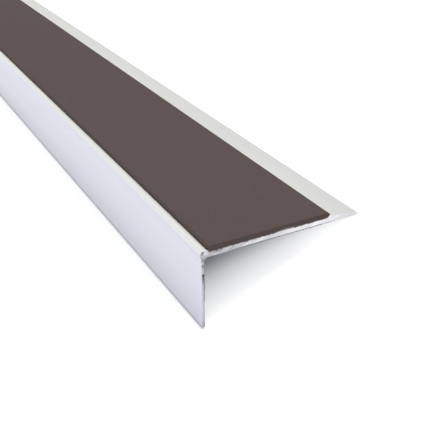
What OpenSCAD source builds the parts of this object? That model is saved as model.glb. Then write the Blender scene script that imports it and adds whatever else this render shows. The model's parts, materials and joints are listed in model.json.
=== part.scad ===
// Stair nosing: an extruded aluminium angle with a non-slip strip bonded into its tread.
// It lies as it would on a floor, on the riser's foot and the ramp's tip, nose uppermost.
// X runs along the nosing, Y from the nose to the back of the tread, Z up.
// The section is drawn as fitted on a step and then turned to lie on the floor.
// In the section s runs from the nose front to the back, and u up from the tread's underside.

/* [Overall] */
// Length of the nosing
length = 900; // [300:10:3000]
// Depth of the tread, from the nose front to the ramp tip
tread_w = 66; // [60:0.5:100]
// Height of the riser leg, from the lip top down to its foot
riser_h = 31.2; // [16:0.1:60]

/* [Walls] */
// Thickness of the tread plate under the strip
base_t = 2; // [1.2:0.1:4]
// Thickness of the riser leg
riser_t = 1; // [0.8:0.1:2.5]
// Radius of the fillet inside the angle
inner_fillet_r = 2; // [0.5:0.1:4]

/* [Nose] */
// How far the nose stands in front of the riser face
nose_out = 0.55; // [0.2:0.05:0.8]
// Radius of the nose front
nose_r = 1.5; // [1:0.05:1.8]
// Drop from the nose's centre to where its front runs into the riser face
nose_drop = 2.2; // [2:0.1:4]
// Width of the lip, from the nose front to the groove beside the strip
lip_w = 2.5; // [2:0.1:6]
// Height of the lip above the recess floor
lip_rise = 0.7; // [0.4:0.1:1.2]

/* [Ramp] */
// Height of the ramp crest above the recess floor
ramp_rise = 0.4; // [0.2:0.1:1.2]
// Width of the flat crest before the ramp falls away
crest_w = 1.6; // [0.2:0.1:3]
// Thickness of the rounded ramp tip
tip_t = 0.5; // [0.3:0.1:0.9]

/* [Strip] */
// Width of the strip at its widest
strip_w = 50; // [30:0.5:52]
// Thickness of the strip
strip_t = 2.05; // [1.5:0.05:4]
// Height above the strip's underside at which it is widest
strip_widest_h = 1.2; // [0.8:0.05:1.4]
// How far the edges of the strip's underside sit in from its widest line
strip_foot_in = 0.9; // [0.2:0.05:1]
// How far the edges of the strip's top sit in from its widest line
strip_top_in = 0.7; // [0.2:0.05:1]
// Gap between the edges of the strip's underside and the recess walls
strip_gap = 0.05; // [0.02:0.01:0.2]
// Gap between the strip's widest line and the lip or the ramp crest beside it
groove_w = 0.3; // [0.2:0.05:1]

/* [Hidden] */
$fn = 64;

// heights above the tread's underside
lip_u = base_t + lip_rise;
crest_u = base_t + ramp_rise;
strip_u = base_t + strip_t;
foot_u = lip_u - riser_h;

// places from the nose front to the back
riser_s = nose_out;
inner_s = riser_s + riser_t;
strip_s = lip_w + groove_w;
strip_end_s = strip_s + strip_w;
recess_s = strip_s + strip_foot_in - strip_gap;
recess_end_s = strip_end_s - strip_foot_in + strip_gap;
crest_s = strip_end_s + groove_w;

// centres of the round nose, foot and tip
foot_r = riser_t / 2;
tip_r = tip_t / 2;
nose = [nose_r, lip_u - nose_r];
foot = [riser_s + foot_r, foot_u + foot_r];
tip = [tread_w - tip_r, tip_r];

// the line from the riser face that touches the round nose
nose_foot = [riser_s, nose.y - nose_drop];
nose_run = nose - nose_foot;
nose_angle = atan2(-nose_run.y, -nose_run.x) - acos(nose_r / norm(nose_run));

// the floor line touches the round foot and tip from below, at lay_angle to the tread's underside
span = tip - foot;
lay_angle = atan2(span.y, span.x) - asin((tip_r - foot_r) / norm(span));
function laid(p) = [
    p.x * cos(lay_angle) + p.y * sin(lay_angle),
    p.y * cos(lay_angle) - p.x * sin(lay_angle)
];
front_y = min(laid(foot).x - foot_r, laid(nose).x - nose_r);
back_y = laid(tip).x + tip_r;
mid_y = (front_y + back_y) / 2;
floor_z = laid(foot).y - foot_r;

function on_circle(centre, r, angle) = centre + r * [cos(angle), sin(angle)];

module riser_outline() {
    translate([riser_s, foot.y]) square([riser_t, base_t - foot.y]);
    translate(foot) circle(foot_r);
}

module nose_outline() {
    mid_riser_s = riser_s + foot_r;
    translate(nose) circle(nose_r);
    polygon([
        nose,
        on_circle(nose, nose_r, nose_angle),
        nose_foot,
        [mid_riser_s, nose_foot.y],
        [mid_riser_s, base_t / 2],
        [recess_s, base_t / 2],
        [recess_s, base_t],
        [lip_w, lip_u],
        [nose.x, lip_u]
    ]);
}

module tread_outline() {
    polygon([
        [inner_s, 0],
        [tip.x, 0],
        [tip.x, tip_t],
        [crest_s + crest_w, crest_u],
        [crest_s, crest_u],
        [recess_end_s, base_t],
        [inner_s, base_t]
    ]);
    translate(tip) circle(tip_r);
}

module inner_fillet_outline() {
    translate([inner_s, -inner_fillet_r]) difference() {
        square(inner_fillet_r);
        translate([inner_fillet_r, 0]) circle(inner_fillet_r);
    }
}

module profile_outline() {
    riser_outline();
    nose_outline();
    tread_outline();
    inner_fillet_outline();
}

module strip_outline() {
    widest_u = base_t + strip_widest_h;
    polygon([
        [strip_s + strip_foot_in, base_t],
        [strip_end_s - strip_foot_in, base_t],
        [strip_end_s, widest_u],
        [strip_end_s - strip_top_in, strip_u],
        [strip_s + strip_top_in, strip_u],
        [strip_s, widest_u]
    ]);
}

module lay_on_floor() {
    rotate([90, 0, 90])
        linear_extrude(length, center = true)
            translate([-mid_y, -floor_z])
                rotate(-lay_angle)
                    children();
}

module aluminium_profile() {
    color("gainsboro") lay_on_floor() profile_outline();
}

module insert_strip() {
    color("#635653") lay_on_floor() strip_outline();
}

aluminium_profile();
insert_strip();
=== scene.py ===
import json
import math

import bpy
import numpy as np
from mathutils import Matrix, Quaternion, Vector, noise
from mathutils.geometry import delaunay_2d_cdt


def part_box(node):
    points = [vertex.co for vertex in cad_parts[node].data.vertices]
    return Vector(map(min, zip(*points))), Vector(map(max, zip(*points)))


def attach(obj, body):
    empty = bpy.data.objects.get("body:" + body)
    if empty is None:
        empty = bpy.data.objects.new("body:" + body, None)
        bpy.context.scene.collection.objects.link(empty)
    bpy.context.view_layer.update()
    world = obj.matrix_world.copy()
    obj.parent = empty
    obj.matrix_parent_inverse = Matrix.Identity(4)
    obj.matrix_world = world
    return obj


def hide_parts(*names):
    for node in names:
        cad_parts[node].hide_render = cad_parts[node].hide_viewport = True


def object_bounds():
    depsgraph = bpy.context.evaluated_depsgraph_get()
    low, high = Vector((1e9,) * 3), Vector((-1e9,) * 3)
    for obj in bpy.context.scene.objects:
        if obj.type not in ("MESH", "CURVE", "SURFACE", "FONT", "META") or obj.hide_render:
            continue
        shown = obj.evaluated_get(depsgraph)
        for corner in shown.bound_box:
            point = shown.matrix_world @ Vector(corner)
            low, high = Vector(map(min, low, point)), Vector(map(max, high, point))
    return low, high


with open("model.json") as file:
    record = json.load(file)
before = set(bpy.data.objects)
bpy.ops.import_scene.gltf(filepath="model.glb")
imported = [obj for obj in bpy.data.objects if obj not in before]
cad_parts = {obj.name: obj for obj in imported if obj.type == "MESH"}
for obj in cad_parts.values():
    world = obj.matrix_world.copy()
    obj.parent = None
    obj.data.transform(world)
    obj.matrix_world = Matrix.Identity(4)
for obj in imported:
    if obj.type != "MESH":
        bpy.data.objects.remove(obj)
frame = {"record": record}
cad_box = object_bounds()

MM = 0.001

# Section in millimetres, as fitted on a step
# s runs from the nose front to the back, u up from the tread's underside
TREAD_W = 66.0
RISER_H = 31.2
BASE_T = 2.0
RISER_T = 1.0
INNER_FILLET_R = 2.0
NOSE_OUT = 0.55
NOSE_R = 1.5
NOSE_DROP = 2.2
LIP_W = 2.5
LIP_RISE = 0.7
RAMP_RISE = 0.4
CREST_W = 1.6
TIP_T = 0.5
STRIP_W = 50.0
STRIP_T = 2.05
STRIP_WIDEST_H = 1.2
STRIP_FOOT_IN = 0.9
STRIP_TOP_IN = 0.7
STRIP_GAP = 0.05
GROOVE_W = 0.3

LIP_U = BASE_T + LIP_RISE
CREST_U = BASE_T + RAMP_RISE
STRIP_U = BASE_T + STRIP_T
WIDEST_U = BASE_T + STRIP_WIDEST_H
FOOT_U = LIP_U - RISER_H
INNER_S = NOSE_OUT + RISER_T
STRIP_S = LIP_W + GROOVE_W
STRIP_END_S = STRIP_S + STRIP_W
RECESS_S = STRIP_S + STRIP_FOOT_IN - STRIP_GAP
RECESS_END_S = STRIP_END_S - STRIP_FOOT_IN + STRIP_GAP
CREST_S = STRIP_END_S + GROOVE_W

# Radii that soften the section's other corners
FOOT_FRONT_R = 0.2
FOOT_BACK_R = RISER_T / 2 * 0.98
TIP_R = TIP_T / 2 * 0.9
CREST_R = 6.0
CREST_EDGE_R = 0.15
RECESS_R = 0.1
LIP_R = 0.2
NOSE_BEND_R = 12.0
STRIP_FOOT_R = 0.08
STRIP_SIDE_R = 0.15
STRIP_TOP_R = 0.25
# How far the lip reaches in beneath the strip's widest line, and how far the strip's front edge sits back
LIP_REACH = 0.3
STRIP_FRONT_IN = 0.12

# The nosing lies on its foot and tip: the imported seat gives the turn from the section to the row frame
seat = next(m for m in frame["record"]["mounts"] if m["name"] == "tread_seat")
LAY_SIN = -seat["axis"][1]
LAY_COS = -seat["axis"][2]
SEAT_S = (INNER_S + INNER_FILLET_R + TREAD_W - TIP_T / 2) / 2
END_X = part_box("aluminium_profile")[1].x / MM

# Meshes: rings at these distances from each end, and how far apart the points of a section lie
RING_STEPS = (0.0, 0.06, 0.15, 0.3, 0.6, 1.5, 6.0, 30.0, 120.0, 280.0)
LINE_STEP = 0.25
STRIP_LINE_STEP = 0.5
ARC_STEP = math.radians(9)
CAP_CELL = 0.2
STRIP_CAP_CELL = 0.4
EDGE_INSET = 0.15
SHARP_ANGLE = math.radians(24)
# How far cap points stray from their grid, and how close two points may be, as shares
CELL_JITTER = 0.3
MIN_APART = 0.2
# Seeds: the first cap's, and the step between the two ends' waves
CAP_SEED = 5
END_SEED_STEP = 9

# Cut ends, in millimetres: saw marks, burrs, chips and wear
SAW_ANGLE = math.radians(17)
SAW_DEPTH = 0.1
BURR = 0.2
BURR_LENGTH = 0.3
CHIP = 0.07
PROFILE_SET_BACK = 0.02
STRIP_CUT_DEPTH = 0.05
STRIP_END_R = 0.1
STRIP_ROUNDING = 0.8
STRIP_WEAR = 0.03
STRIP_BURR = 0.18
STRIP_BURR_LENGTH = 0.5
STRIP_BURR_FADE = 0.6
# Bright cut metal shows this far round the edge of a cut end
CUT_EDGE = 0.15
# Height of the painted shade that makes a dark line at the riser's foot, and middle of the painted light
# that makes a pale band on the nose's bend
FOOT_SHADE_H = 0.45
NOSE_PALE_U = -0.3
# The riser's inner edge is torn between these heights
TORN_RISER = (-17.0, -6.0)
# Nicks: their reach, and the place (s, u) and strength of each
NICK_REACH = (0.55, 0.6)
NICKS = (
    (3.55, 2.2, 0.7),
    (1.0, -1.1, 0.45),
    (1.0, -3.2, 0.6),
    (1.15, -7.0, 1.0),
    (1.2, -8.2, 0.6),
    (1.2, -9.3, 0.45),
)
# Long scratches across the tread's end: their form, and the start (s, u) and strength of each
SCRATCH_WIDTH = 0.17
SCRATCH_START = 0.5
SCRATCH_LENGTH = 5.0
SCRATCHES = (
    (7.2, 0.6, 0.3),
    (10.5, 0.3, 0.5),
    (15.2, 0.5, 0.3),
    (19.3, 0.3, 0.35),
    (26.0, 0.3, 0.3),
)
# Middle of the dark spot on the nose's end, and of the pale smear at the foot of the strip's end
NOSE_SPOT = (1.0, 2.0)
SMEAR = (34.0, 2.0)

# Tone of the sawn tread at the nose, its changes (start s, length, change)
# and its spots (place, reach, change)
TREAD_TONE = 0.15
TREAD_CHANGES = ((0.0, 24.0, 0.52), (31.0, 7.0, 0.2), (52.0, 12.0, -0.26))
TREAD_SPOTS = (
    ((2.4, 1.7), (1.3, 1.2), 0.42),
    ((5.0, 0.8), (1.5, 0.6), 0.2),
    ((7.0, 1.5), (1.5, 0.6), -0.75),
)
# Tone of the sawn riser at its foot, its fall from front to back, and its changes (start u, length, change)
RISER_TONE = 0.35
RISER_FALL = 0.4
RISER_CHANGES = ((-27.0, 3.0, 0.25), (-18.0, 8.0, -0.18), (-7.0, 3.0, 0.15))
# Contrast of the saw's strokes, and what is added to it near the nose
STROKE = 0.15
NOSE_STROKE = 0.28
# Dark line below the strip's end: its lower edge, how far that wanders and over what height it softens
STRIP_LINE_U = 1.49
STRIP_LINE_WANDER = 0.17
STRIP_LINE_SOFT = 0.3
# Places (place, reach, change) where that edge moves up or down
STRIP_LINE_SPOTS = ((SMEAR, (4.0, 1.0), 0.35), ((7.0, 1.7), (2.0, 0.6), -0.25))

# Camera, in millimetres from the middle of the near end on the floor
IMAGE_PX = 424
CAMERA_AT = (187.128, -59.351, 183.236)
CAMERA_AIM = (-46.687, -2.499, 4.076)
CAMERA_ROLL = math.radians(26.8645)
FOCAL_PX = 739.0
SENSOR_MM = 36.0

# Floor: half its side in metres, and its colours to soft light and in mirrors
FLOOR_HALF = 8.0
FLOOR_COLOUR = (0.42, 0.42, 0.44)
FLOOR_MIRRORED = (1.06, 1.06, 1.19)
# Its colours to the camera: in the open, and painted shade beneath the tread's end and, cooler, deep inside
FLOOR_SEEN = (1.55, 1.57, 1.60)
FLOOR_BENEATH = (0.90, 0.90, 0.90)
FLOOR_DEEP = (0.70, 0.80, 0.95)
# Soft fill beneath the tread, stronger at the tip, which fades over depths from the end, in metres
FLOOR_FILL = (0.622, 0.627, 0.640)
FILL_AT_TIP = 1.29
FILL_DEPTHS = (0.0038, 0.0405)
# A second fade runs on a slant, deeper at the riser than at the tip
FILL_LEAN = 0.375
LEAN_DEPTHS = (0.0109, 0.0363)
# Thin shade along the riser's foot
FLOOR_CONTACT = (0.89, 0.87, 0.975)
CONTACT_FADE = 0.0012

# Surround: its colours behind and in front, the turn between them, and its level as light and in mirrors
WHITE = (1.0, 1.0, 1.0)
SURROUND_BACK = (1.0, 1.005, 0.95)
SURROUND_FRONT = (1.0, 1.005, 1.08)
FRONT_TURN = (-0.25, -0.55)
SURROUND_LIGHT = 0.615
SURROUND_MIRRORED = 0.95

# Lamps, in metres and watts
LAMP_COLOUR = (1.0, 0.99, 0.97)
BACK_LAMP_AT = (0.35, 1.47, 1.60)
BACK_LAMP_SIZE = 1.2
BACK_LAMP_WATTS = 17.5
END_LAMP_AT = (3.725, 0.578, 0.707)
END_LAMP_SIZE = 1.6
END_LAMP_WATTS = 27.0


def lay(points):
    """Row-frame places in metres of points (x, s, u) in millimetres."""
    x, s, u = np.asarray(points, float).T
    y = seat["pos_m"][1] + ((s - SEAT_S) * LAY_COS + u * LAY_SIN) * MM
    z = seat["pos_m"][2] + (u * LAY_COS - (s - SEAT_S) * LAY_SIN) * MM
    return np.column_stack([x * MM, y, z])


def rounded_outline(corners, line_step):
    """Closed outline of corners (s, u, radius), each rounded by an arc, with points about a step apart."""
    arcs = []
    for i, (s, u, radius) in enumerate(corners):
        here = np.array([s, u])
        back = np.array(corners[i - 1][:2]) - here
        ahead = np.array(corners[(i + 1) % len(corners)][:2]) - here
        back /= np.linalg.norm(back)
        ahead /= np.linalg.norm(ahead)
        half = math.acos(back @ ahead) / 2
        middle = (back + ahead) / np.linalg.norm(back + ahead)
        centre = here + middle * radius / math.sin(half)
        first = here + back * radius / math.tan(half) - centre
        last = here + ahead * radius / math.tan(half) - centre
        start = math.atan2(first[1], first[0])
        turn = math.remainder(math.atan2(last[1], last[0]) - start, math.tau)
        angles = start + turn * np.linspace(0, 1, max(3, math.ceil(abs(turn) / ARC_STEP)) + 1)
        arcs.append(centre + radius * np.column_stack([np.cos(angles), np.sin(angles)]))
    points = []
    for i, arc in enumerate(arcs):
        following = arcs[(i + 1) % len(arcs)][0]
        pieces = max(1, math.ceil(np.linalg.norm(following - arc[-1]) / line_step))
        share = np.arange(1, pieces)[:, None] / pieces
        points.append(arc)
        points.append(arc[-1] + (following - arc[-1]) * share)
    return np.concatenate(points)


def outward(outline):
    """Unit normals that point out of a counter-clockwise outline."""
    along = np.roll(outline, -1, 0) - np.roll(outline, 1, 0)
    along /= np.linalg.norm(along, axis=1)[:, None]
    return np.column_stack([along[:, 1], -along[:, 0]])


def profile_outline():
    """Section of the aluminium angle."""
    nose = np.array([NOSE_R, LIP_U - NOSE_R])
    run = np.array([NOSE_OUT, nose[1] - NOSE_DROP])
    away = run - nose
    touch = math.atan2(away[1], away[0]) - math.acos(NOSE_R / np.linalg.norm(away))
    rise = np.array([math.sin(touch), -math.cos(touch)])
    nose_corner = run + rise * (LIP_U - run[1]) / rise[1]
    return rounded_outline([
        (NOSE_OUT, FOOT_U, FOOT_FRONT_R),
        (INNER_S, FOOT_U, FOOT_BACK_R),
        (INNER_S, 0.0, INNER_FILLET_R),
        (TREAD_W, 0.0, TIP_R),
        (TREAD_W, TIP_T, TIP_R),
        (CREST_S + CREST_W, CREST_U, CREST_R),
        (CREST_S, CREST_U, CREST_EDGE_R),
        (RECESS_END_S, BASE_T, RECESS_R),
        (RECESS_S, BASE_T, RECESS_R),
        (STRIP_S + LIP_REACH, LIP_U, LIP_R),
        (nose_corner[0], LIP_U, NOSE_R),
        (run[0], run[1], NOSE_BEND_R),
    ], LINE_STEP)


def strip_outline():
    """Section of the strip."""
    return rounded_outline([
        (STRIP_S + STRIP_FOOT_IN, BASE_T, STRIP_FOOT_R),
        (STRIP_END_S - STRIP_FOOT_IN, BASE_T, STRIP_FOOT_R),
        (STRIP_END_S, WIDEST_U, STRIP_SIDE_R),
        (STRIP_END_S - STRIP_TOP_IN, STRIP_U, STRIP_TOP_R),
        (STRIP_S + STRIP_TOP_IN, STRIP_U, STRIP_TOP_R),
        (STRIP_S + STRIP_FRONT_IN, WIDEST_U, STRIP_SIDE_R),
    ], STRIP_LINE_STEP)


def wave(end, points, along_scale, across_scale, seed, angle=0.0):
    """Smooth noise from -1 to 1 at section points, drawn out along an angle and different at each end."""
    c = math.cos(angle)
    s = math.sin(angle)
    layer = seed + END_SEED_STEP * end
    return np.array([
        noise.noise(Vector(((a * c + b * s) * along_scale, (b * c - a * s) * across_scale, layer)))
        for a, b in points
    ])


def inside(points, outline):
    """Which points lie in a closed outline."""
    found = np.zeros(len(points), bool)
    for (x0, y0), (x1, y1) in zip(outline, np.roll(outline, -1, 0)):
        crosses = (y0 > points[:, 1]) != (y1 > points[:, 1])
        if crosses.any():
            at = x0 + (points[:, 1] - y0) / (y1 - y0 + 1e-12) * (x1 - x0)
            found ^= crosses & (points[:, 0] < at)
    return found


def gap(points, outline):
    """Distance of points from the nearest point of an outline."""
    return np.array([np.min(np.hypot(*(outline - p).T)) for p in points])


def smooth(values):
    """Soft step from 0 to 1."""
    x = np.clip(values, 0, 1)
    return x * x * (3 - 2 * x)


def spot(points, centre, reach):
    """Soft spot at a section point, 1 in its middle."""
    return np.exp(-np.sum(((points - np.array(centre)) / np.array(reach)) ** 2, axis=1))


def changing(base, places, changes):
    """A value that goes through soft changes (start, length, change) along a line."""
    value = base
    for start, length, change in changes:
        value = value + change * smooth((places - start) / length)
    return value


def fill(outline, cell, seed):
    """Points inside an outline about a cell apart, and triangles over the outline's points and them."""
    low = outline.min(0)
    high = outline.max(0)
    grid = np.meshgrid(np.arange(low[0], high[0], cell), np.arange(low[1], high[1], cell))
    points = np.column_stack([axis.ravel() for axis in grid])
    points += np.random.default_rng(seed).uniform(-CELL_JITTER, CELL_JITTER, points.shape) * cell
    points = points[inside(points, outline)]
    points = points[gap(points, outline) > EDGE_INSET + cell * 0.5]
    edge = outline - outward(outline) * EDGE_INSET
    edge = edge[inside(edge, outline)]
    edge = edge[gap(edge, outline) > EDGE_INSET * 0.9]
    apart = [edge[0]]
    for point in edge[1:]:
        if gap([point], np.array(apart))[0] > EDGE_INSET * MIN_APART:
            apart.append(point)
    points = np.concatenate([apart, points])
    everything = [Vector(p) for p in np.concatenate([outline, points])]
    made = delaunay_2d_cdt(everything, [], [list(range(len(outline)))], 1, 1e-7)
    source = [origins[0] for origins in made[3]]
    return points, [[source[v] for v in face] for face in made[2]]


def swept(name, outline, set_back, offset_at, end_depth, cell):
    """Closed mesh of an outline swept along the nosing, and facts about each of its points.

    offset_at(end, step) moves a ring's points out along their normals near each end, and
    end_depth(end, points) is how deep the cut goes at section points. The facts are the section
    place, the distance from the nearer end and which end that is.
    """
    normals = outward(outline)
    count = len(outline)
    points = []
    distance = []
    ends = []
    for end, side in ((0, 1), (1, -1)):
        for step in RING_STEPS[::side]:
            ring = outline + normals * offset_at(end, step)[:, None]
            depth = np.full(count, step + set_back)
            if step == 0:
                depth += end_depth(end, ring)
            points.append(np.column_stack([(END_X - depth) * side, ring]))
            distance.append(np.full(count, step))
            ends.append(np.full(count, end))
    faces = []
    last_ring = len(points) - 1
    for i in range(last_ring):
        for j in range(count):
            k = (j + 1) % count
            faces.append((i * count + j, (i + 1) * count + j, (i + 1) * count + k, i * count + k))
    total = len(points) * count
    for end, side in ((0, 1), (1, -1)):
        first = last_ring * end * count
        inner, triangles = fill(points[last_ring * end][:, 1:], cell, CAP_SEED + end)
        depth = set_back + end_depth(end, inner)
        points.append(np.column_stack([(END_X - depth) * side, inner]))
        distance.append(np.zeros(len(inner)))
        ends.append(np.full(len(inner), end))
        for triangle in triangles:
            corners = [first + v if v < count else total + v - count for v in triangle]
            faces.append(tuple(corners[::side]))
        total += len(inner)
    places = np.concatenate(points)
    laid = np.clip(lay(places), list(cad_box[0]), list(cad_box[1]))
    mesh = bpy.data.meshes.new(name)
    mesh.from_pydata(laid.tolist(), [], faces)
    mesh.validate()
    mesh.set_sharp_from_angle(angle=SHARP_ANGLE)
    piece = bpy.data.objects.new(name, mesh)
    bpy.context.collection.objects.link(piece)
    return piece, places[:, 1:], np.concatenate(distance), np.concatenate(ends)


def set_fact(piece, name, values):
    """Stores one number for each point of a piece, for its material to read."""
    attribute = piece.data.attributes.new(name, "FLOAT", "POINT")
    attribute.data.foreach_set("value", np.asarray(values, np.float32))


class Nodes:
    """The node tree of a material or a world, with short calls to add and join nodes."""

    def __init__(self, owner):
        owner.use_nodes = True
        self.tree = owner.node_tree

    def add(self, kind, **settings):
        node = self.tree.nodes.new(kind)
        for key, value in settings.items():
            setattr(node, key, value)
        return node

    def join(self, source, target):
        self.tree.links.new(source, target)

    def put(self, value, target):
        """Joins another node's socket to a socket, or sets it to a plain number or colour."""
        if isinstance(value, tuple):
            target.default_value = (*value, 1.0)
        elif isinstance(value, float):
            target.default_value = value
        else:
            self.join(value, target)

    def place(self, kind):
        """X, Y and Z on an object, or of a direction in a world."""
        return self.add("ShaderNodeTexCoord").outputs[kind]

    def axes(self, vector):
        """A vector's X, Y and Z apart."""
        node = self.add("ShaderNodeSeparateXYZ")
        self.join(vector, node.inputs["Vector"])
        return node.outputs

    def fact(self, name):
        """A number stored on the piece's points."""
        return self.add("ShaderNodeAttribute", attribute_name=name).outputs["Fac"]

    def noise(self, scale, detail=2.0, roughness=0.5):
        """Noise from 0 to 1, with its bumps per metre along X, Y and Z."""
        mapping = self.add("ShaderNodeMapping")
        mapping.inputs["Scale"].default_value = scale
        self.join(self.place("Object"), mapping.inputs["Vector"])
        texture = self.add("ShaderNodeTexNoise")
        texture.inputs["Scale"].default_value = 1.0
        texture.inputs["Detail"].default_value = detail
        texture.inputs["Roughness"].default_value = roughness
        self.join(mapping.outputs["Vector"], texture.inputs["Vector"])
        return texture.outputs["Fac"]

    def spread(self, value, low, high):
        """A value from 0 to 1 spread between two numbers."""
        node = self.add("ShaderNodeMapRange")
        node.inputs["To Min"].default_value = low
        node.inputs["To Max"].default_value = high
        self.join(value, node.inputs["Value"])
        return node.outputs["Result"]

    def step(self, value, low, high):
        """A soft step from 0 at one number to 1 at another."""
        node = self.add("ShaderNodeMapRange", interpolation_type="SMOOTHSTEP")
        node.inputs["From Min"].default_value = low
        node.inputs["From Max"].default_value = high
        self.join(value, node.inputs["Value"])
        return node.outputs["Result"]

    def maths(self, operation, *values, clamped=False):
        """One sum on sockets or plain numbers."""
        node = self.add("ShaderNodeMath", operation=operation, use_clamp=clamped)
        for target, value in zip(node.inputs, values):
            self.put(value, target)
        return node.outputs[0]

    def times(self, first, *others):
        """Numbers multiplied."""
        for other in others:
            first = self.maths("MULTIPLY", first, other)
        return first

    def either(self, first, *others):
        """The largest of some numbers."""
        for other in others:
            first = self.maths("MAXIMUM", first, other)
        return first

    def mix(self, share, first, second):
        """A colour between two, which are sockets or plain colours."""
        node = self.add("ShaderNodeMix", data_type="RGBA")
        self.join(share, node.inputs[0])
        self.put(first, node.inputs[6])
        self.put(second, node.inputs[7])
        return node.outputs[2]

    def blend(self, share, first, second):
        """A number between two, which are sockets or plain numbers."""
        node = self.add("ShaderNodeMix", data_type="FLOAT")
        self.join(share, node.inputs[0])
        self.put(first, node.inputs[2])
        self.put(second, node.inputs[3])
        return node.outputs[0]

    def bump(self, height, distance, strength=1.0):
        """Normals tilted by a height."""
        node = self.add("ShaderNodeBump")
        node.inputs["Distance"].default_value = distance
        node.inputs["Strength"].default_value = strength
        self.join(height, node.inputs["Height"])
        return node.outputs["Normal"]


def aluminium_material():
    """Satin aluminium with faint drawing lines along it, and bright saw marks on its cut ends."""
    material = bpy.data.materials.new("satin_aluminium")
    nodes = Nodes(material)
    shader = nodes.tree.nodes["Principled BSDF"].inputs
    lines = nodes.noise((2.0, 1400.0, 1400.0), detail=3.0)
    bands = nodes.noise((1.2, 160.0, 160.0), detail=1.0)
    clouds = nodes.noise((26.0, 90.0, 90.0))
    skin = nodes.mix(bands, (0.83, 0.832, 0.842), (0.865, 0.866, 0.872))
    skin = nodes.mix(nodes.spread(clouds, 0.0, 0.2), skin, (0.78, 0.783, 0.80))
    # painted shade: the ramp gets a darker, cloudy grey than the rest of the skin
    broad = nodes.noise((13.0, 20.0, 20.0), detail=1.0)
    ramp = nodes.mix(broad, (0.655, 0.652, 0.627), (0.780, 0.777, 0.748))
    ramp = nodes.mix(nodes.fact("outer"), ramp, (0.672, 0.670, 0.646))
    skin = nodes.mix(nodes.fact("ramp"), skin, ramp)
    # painted shade: darker faces beneath the tread and behind the riser, which also bounce less light onto
    # the floor beneath
    skin = nodes.mix(nodes.fact("inside"), skin, (0.48, 0.48, 0.50))
    # painted light: a pale band on the nose's bend that lifts its shaded reflection
    skin = nodes.mix(nodes.fact("nose"), skin, (0.935, 0.935, 0.945))
    # painted shade: a dark line along the riser's foot
    skin = nodes.mix(nodes.fact("foot"), skin, (0.29, 0.275, 0.335))
    sawn = nodes.mix(nodes.fact("tone"), (0.40, 0.396, 0.390), (0.94, 0.935, 0.905))
    cool = nodes.mix(nodes.fact("tone"), (0.39, 0.39, 0.435), (0.91, 0.91, 1.0))
    sawn = nodes.mix(nodes.fact("cool"), sawn, cool)
    # the burr fact holds painted shade along the cut's lower and inner edges, besides dark nicks and a dark
    # line below the strip
    sawn = nodes.mix(nodes.fact("burr"), sawn, (0.09, 0.085, 0.085))
    nodes.join(nodes.mix(nodes.fact("cut"), skin, sawn), shader["Base Color"])
    grain = nodes.spread(lines, 0.27, 0.35)
    nodes.join(nodes.blend(nodes.fact("cut"), grain, 0.5), shader["Roughness"])
    # the painted shade at the foot is not metal
    nodes.join(nodes.blend(nodes.fact("foot"), 1.0, 0.0), shader["Metallic"])
    nodes.join(nodes.bump(lines, 0.000012), shader["Normal"])
    return material


def strip_material():
    """Matt brown rubber with a fine grain, darker on its lower sides, which is painted shade, and on its
    ends; its bevel is painted lighter against its shade.
    """
    material = bpy.data.materials.new("matt_strip")
    nodes = Nodes(material)
    shader = nodes.tree.nodes["Principled BSDF"].inputs
    grain = nodes.noise((1300.0, 1300.0, 1300.0), detail=3.0, roughness=0.6)
    mottle = nodes.noise((330.0, 330.0, 330.0))
    top = nodes.mix(mottle, (0.126, 0.097, 0.0955), (0.144, 0.1125, 0.110))
    top = nodes.mix(nodes.spread(grain, 0.0, 0.8), top, (0.088, 0.067, 0.0655))
    # painted shade: the lower sides below the widest line are darker
    side = nodes.mix(grain, (0.096, 0.065, 0.059), (0.114, 0.079, 0.072))
    sawn = nodes.mix(grain, (0.103, 0.079, 0.075), (0.125, 0.095, 0.091))
    sawn = nodes.mix(nodes.fact("smear"), sawn, (0.55, 0.54, 0.53))
    # painted light: the bevel is lighter, against the shade it gets from tilting away
    top = nodes.mix(nodes.fact("bevel"), top, (0.132, 0.102, 0.097))
    colour = nodes.mix(nodes.fact("rim"), top, side)
    nodes.join(nodes.mix(nodes.fact("sawn"), colour, sawn), shader["Base Color"])
    nodes.join(nodes.spread(mottle, 0.72, 0.82), shader["Roughness"])
    shader["Specular IOR Level"].default_value = 0.02
    nodes.join(nodes.bump(grain, 0.00003, 0.6), shader["Normal"])
    return material


def saw_marks(end, points):
    """Height of the saw's marks on a cut end, from 0 to 1."""
    broad = wave(end, points, 0.12, 0.9, 1.5, SAW_ANGLE)
    fine = wave(end, points, 0.3, 2.6, 4.5, SAW_ANGLE)
    return np.clip(0.5 + 0.75 * broad + 0.45 * fine, 0, 1)


def sawn_tone(end, points):
    """How bright the sawn metal is, from 0 to 1: darker at the nose and riser, bright along the tread."""
    s, u = points.T
    tread = changing(TREAD_TONE, s, TREAD_CHANGES)
    for place, reach, change in TREAD_SPOTS:
        tread = tread + change * spot(points, place, reach)
    for start_s, start_u, strength in SCRATCHES:
        along = (s - start_s) * math.cos(SAW_ANGLE) + (u - start_u) * math.sin(SAW_ANGLE)
        across = (u - start_u) * math.cos(SAW_ANGLE) - (s - start_s) * math.sin(SAW_ANGLE)
        length = smooth(along / SCRATCH_START) * smooth(SCRATCH_LENGTH - along)
        tread = tread - strength * np.exp(-(across / SCRATCH_WIDTH) ** 2) * length
    riser = changing(RISER_TONE, u, RISER_CHANGES) - RISER_FALL * (s - NOSE_OUT)
    # saw strokes, deepest near the nose
    strokes = wave(end, points, 0.12, 1.5, 1.5, SAW_ANGLE)
    strokes += 0.5 * wave(end, points, 0.3, 3.2, 4.5, SAW_ANGLE)
    depth = STROKE + NOSE_STROKE * np.clip((24 - s) / 14, 0, 1) * smooth((u + 1.5) / 1.5)
    on_riser = smooth((-0.2 - u) / 0.9)
    return np.clip(tread + (riser - tread) * on_riser - depth * strokes, 0, 1)


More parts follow.
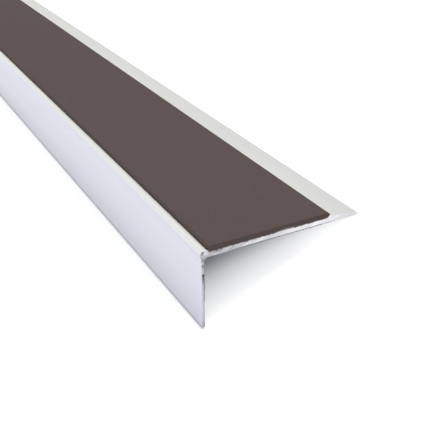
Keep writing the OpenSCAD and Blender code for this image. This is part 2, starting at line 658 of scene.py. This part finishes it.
def sawn_dark(end, points):
    """How dark the cut is, from 0 to 1: painted shade on its torn lower and inner edges, a dark line below
    the strip, and dark nicks.
    """
    s, u = points.T
    ragged = 0.75 + 0.5 * wave(end, points, 0.6, 0.6, 7.5)
    torn = 0.78 + 0.75 * wave(end, points, 1.1, 1.1, 5.5)
    # painted shade along the tread's lower edge
    under = np.clip((0.19 - u) / 0.12, 0, 1) * (u > -0.5)
    under = under * smooth((s - 10) / 6) * smooth((61 - s) / 16)
    # along the strip, with an uneven lower line
    line_u = STRIP_LINE_U + STRIP_LINE_WANDER * wave(end, points, 0.35, 0.1, 2.5)
    line_u = changing(line_u, s, ((44.0, 4.0, 0.16),))
    for place, reach, change in STRIP_LINE_SPOTS:
        line_u = line_u + change * spot(points, place, reach)
    beside = np.clip((u - line_u) / STRIP_LINE_SOFT, 0, 1) * (s > RECESS_S - 0.3) * (s < RECESS_END_S)
    # painted shade down the riser's inner edge
    behind = 0.85 * np.clip((s - 1.2) / 0.2, 0, 1) * smooth((TORN_RISER[1] - u) / 1.5)
    behind = behind * smooth((u + 24) / 12)
    dark = np.maximum.reduce([under * (ragged + 0.3), beside * torn, behind * ragged])
    for nick_s, nick_u, strength in NICKS:
        dark = np.maximum(dark, 1.5 * strength * spot(points, (nick_s, nick_u), NICK_REACH))
    return np.clip(np.maximum(dark, 0.75 * spot(points, NOSE_SPOT, (0.45, 0.9))), 0, 1)


def set_profile_facts(piece, places, distance, ends):
    """Stores what the aluminium's material has to know about each point."""
    s, u = places.T
    tone = np.zeros(len(places))
    dark = np.zeros(len(places))
    for end in (0, 1):
        cut = (ends == end) & (distance < 1)
        tone[cut] = sawn_tone(end, places[cut])
        dark[cut] = sawn_dark(end, places[cut])
    under = (u < 0.05) & (s > INNER_S + 0.3) & (s < TREAD_W - 0.5)
    behind = (s > INNER_S - 0.05) & (u < 0.05) & (u > FOOT_U + 0.5)
    # painted shade on the faces beneath the tread and behind the riser
    set_fact(piece, "inside", under | behind)
    # painted shade on the ramp
    set_fact(piece, "ramp", (s > CREST_S) & (u > 0.1))
    set_fact(piece, "outer", np.clip((s - CREST_S) / (TREAD_W - CREST_S), 0, 1))
    # painted light on the nose's bend
    set_fact(piece, "nose", np.exp(-(u - NOSE_PALE_U) ** 2) * (s < 1.0))
    # painted shade along the riser's foot
    set_fact(piece, "foot", np.clip((FOOT_U + FOOT_SHADE_H - u) / FOOT_SHADE_H, 0, 1))
    set_fact(piece, "cut", np.clip(1 - distance / CUT_EDGE, 0, 1))
    set_fact(piece, "tone", tone)
    set_fact(piece, "cool", smooth((-2 - u) / 10))
    # painted shade on the cut's edges, with its nicks
    set_fact(piece, "burr", dark)


def make_profile():
    """The aluminium angle, with sawn ends."""
    outline = profile_outline()
    normals = outward(outline)
    s, u = outline.T
    under = (normals[:, 1] < -0.9) & (s > INNER_S + INNER_FILLET_R) & (s < TREAD_W - 1)
    behind = (normals[:, 0] > 0.9) & (u > TORN_RISER[0]) & (u < TORN_RISER[1])
    torn = under | behind

    def edge_offset(end, step):
        burr = np.clip(0.6 + 0.6 * wave(end, outline, 0.9, 0.9, 3.0), 0.1, 1.0) * BURR
        chip = np.clip(0.5 + 0.8 * wave(end, outline, 1.6, 1.6, 6.0), 0.1, 1.0) * CHIP
        fade = max(0.0, 1 - step / BURR_LENGTH) ** 2
        return np.where(torn, burr, -chip) * fade

    def saw_depth(end, points):
        return saw_marks(end, points) * SAW_DEPTH

    piece, places, distance, ends = swept(
        "nosing_profile", outline, PROFILE_SET_BACK, edge_offset, saw_depth, CAP_CELL)
    set_profile_facts(piece, places, distance, ends)
    piece.data.materials.append(aluminium_material())
    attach(piece, "root")
    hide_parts("aluminium_profile")


def make_strip():
    """The strip in its recess, with softly rounded edges and sawn ends."""
    outline = strip_outline()
    normals = outward(outline)
    height = outline[:, 1]
    rear = (normals[:, 0] > 0.5) * smooth((height - BASE_T) / STRIP_BURR_FADE)
    rear = rear * smooth((STRIP_U - height) / STRIP_BURR_FADE)
    top = np.clip(2 * normals[:, 1] - 1, 0, 1)

    def end_offset(end, step):
        share = max(0.0, 1 - step / STRIP_END_R)
        rounding = STRIP_END_R * (1 - math.sqrt(1 - share * share)) * STRIP_ROUNDING
        wear = STRIP_WEAR * wave(end, outline, 0.7, 0.7, 2.0) * share
        burr = STRIP_BURR * max(0.0, 1 - step / STRIP_BURR_LENGTH) ** 2
        return burr * rear - rounding * top + wear * (normals[:, 1] > -0.5)

    def cut_depth(end, points):
        return STRIP_CUT_DEPTH * (1 + wave(end, points, 0.25, 1.4, 8.0, SAW_ANGLE))

    piece, places, distance, _ = swept("tread_strip", outline, 0.0, end_offset, cut_depth, STRIP_CAP_CELL)
    u = places[:, 1]
    # painted shade below the strip's widest line
    set_fact(piece, "rim", (u < WIDEST_U - 0.1) & (distance > 0.2))
    # painted light on the strip's bevel
    set_fact(piece, "bevel", (u < STRIP_U - 0.1) & (distance > 0.2))
    set_fact(piece, "sawn", distance < 0.05)
    set_fact(piece, "smear", spot(places, SMEAR, (3.2, 0.3)))
    piece.data.materials.append(strip_material())
    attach(piece, "root")
    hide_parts("insert_strip")


def floor_material():
    """A floor that the camera sees white in the open, and shaded along the foot and beneath the tread."""
    material = bpy.data.materials.new("pale_floor")
    nodes = Nodes(material)
    rays = nodes.add("ShaderNodeLightPath").outputs
    direct = nodes.either(rays["Is Camera Ray"], rays["Is Transmission Ray"])
    mirrored = nodes.maths("SUBTRACT", rays["Is Glossy Ray"], rays["Diffuse Depth"], clamped=True)
    axes = nodes.axes(nodes.place("Object"))
    x = nodes.maths("ABSOLUTE", axes["X"])
    y = axes["Y"]
    end = END_X * MM
    front = cad_box[0][1]
    foot_back = front + RISER_T * MM
    back = cad_box[1][1]
    # where the nosing stands over the floor
    beside = nodes.step(x, end + CONTACT_FADE, end)
    before_foot = nodes.step(y, front - CONTACT_FADE, front)
    contact = nodes.times(before_foot, nodes.step(y, foot_back, front), beside)
    between = nodes.times(nodes.step(y, front, foot_back), nodes.step(y, back, back - TIP_T * MM))
    near_end = nodes.step(x, end - FILL_DEPTHS[1], end - FILL_DEPTHS[0])
    # the floor's colour, with painted shade beneath the tread and along the foot
    beneath = nodes.mix(near_end, FLOOR_DEEP, FLOOR_BENEATH)
    seen = nodes.mix(nodes.times(between, beside), FLOOR_SEEN, beneath)
    seen = nodes.mix(contact, seen, FLOOR_CONTACT)
    colour = nodes.mix(mirrored, FLOOR_COLOUR, FLOOR_MIRRORED)
    matt = nodes.add("ShaderNodeBsdfDiffuse")
    nodes.join(nodes.mix(direct, colour, seen), matt.inputs["Color"])
    # the soft fill beneath the tread
    leaning = nodes.maths("MULTIPLY_ADD", y, -FILL_LEAN, x)
    open_side = nodes.step(leaning, end - LEAN_DEPTHS[1], end - LEAN_DEPTHS[0])
    tip_gain = nodes.spread(nodes.step(y, 0.0, back), 1.0, FILL_AT_TIP)
    glow = nodes.add("ShaderNodeEmission")
    nodes.put(FLOOR_FILL, glow.inputs["Color"])
    nodes.join(nodes.times(between, near_end, open_side, tip_gain, direct), glow.inputs["Strength"])
    both = nodes.add("ShaderNodeAddShader")
    nodes.join(matt.outputs["BSDF"], both.inputs[0])
    nodes.join(glow.outputs["Emission"], both.inputs[1])
    nodes.join(both.outputs["Shader"], nodes.tree.nodes["Material Output"].inputs["Surface"])
    return material


def make_floor():
    """A wide level floor."""
    corners = [(-1, -1), (1, -1), (1, 1), (-1, 1)]
    mesh = bpy.data.meshes.new("floor")
    mesh.from_pydata([(x * FLOOR_HALF, y * FLOOR_HALF, 0) for x, y in corners], [], [(0, 1, 2, 3)])
    mesh.materials.append(floor_material())
    floor = bpy.data.objects.new("floor", mesh)
    bpy.context.collection.objects.link(floor)


def make_surround():
    """A soft surround, a little cooler in front of the riser, and plain white to the camera."""
    world = bpy.data.worlds.new("surround")
    bpy.context.scene.world = world
    nodes = Nodes(world)
    front = nodes.step(nodes.axes(nodes.place("Generated"))["Y"], FRONT_TURN[0], FRONT_TURN[1])
    colour = nodes.mix(front, SURROUND_BACK, SURROUND_FRONT)
    rays = nodes.add("ShaderNodeLightPath").outputs
    camera_ray = rays["Is Camera Ray"]
    mirrored = nodes.either(rays["Is Glossy Ray"], rays["Is Transmission Ray"])
    level = nodes.spread(mirrored, SURROUND_LIGHT, SURROUND_MIRRORED)
    background = nodes.tree.nodes["Background"].inputs
    nodes.join(nodes.mix(camera_ray, colour, WHITE), background["Color"])
    nodes.join(nodes.either(level, camera_ray), background["Strength"])


def make_lamp(name, place, size, watts):
    """A square soft lamp that faces the near end."""
    lamp = bpy.data.lights.new(name, "AREA")
    lamp.size = size
    lamp.energy = watts
    lamp.color = LAMP_COLOUR
    holder = bpy.data.objects.new(name, lamp)
    holder.location = place
    towards = Vector((END_X * MM, 0.0, 0.0)) - holder.location
    holder.rotation_euler = towards.to_track_quat("-Z", "Y").to_euler()
    bpy.context.collection.objects.link(holder)


def make_camera():
    """The photograph's camera, beyond the near end and above the nose."""
    data = bpy.data.cameras.new("camera")
    data.sensor_width = SENSOR_MM
    data.lens = FOCAL_PX / IMAGE_PX * SENSOR_MM
    data.clip_start = 0.01
    camera = bpy.data.objects.new("camera", data)
    end = Vector((END_X, 0, 0))
    place = (Vector(CAMERA_AT) + end) * MM
    aim = (Vector(CAMERA_AIM) + end) * MM
    camera.location = place
    camera.rotation_mode = "QUATERNION"
    level = (aim - place).to_track_quat("-Z", "Y")
    camera.rotation_quaternion = level @ Quaternion((0, 0, 1), -CAMERA_ROLL)
    bpy.context.collection.objects.link(camera)
    bpy.context.scene.camera = camera


make_camera()
make_profile()
make_strip()
make_floor()
make_surround()
make_lamp("back_lamp", BACK_LAMP_AT, BACK_LAMP_SIZE, BACK_LAMP_WATTS)
make_lamp("end_lamp", END_LAMP_AT, END_LAMP_SIZE, END_LAMP_WATTS)
bpy.context.scene.view_settings.view_transform = "Standard"
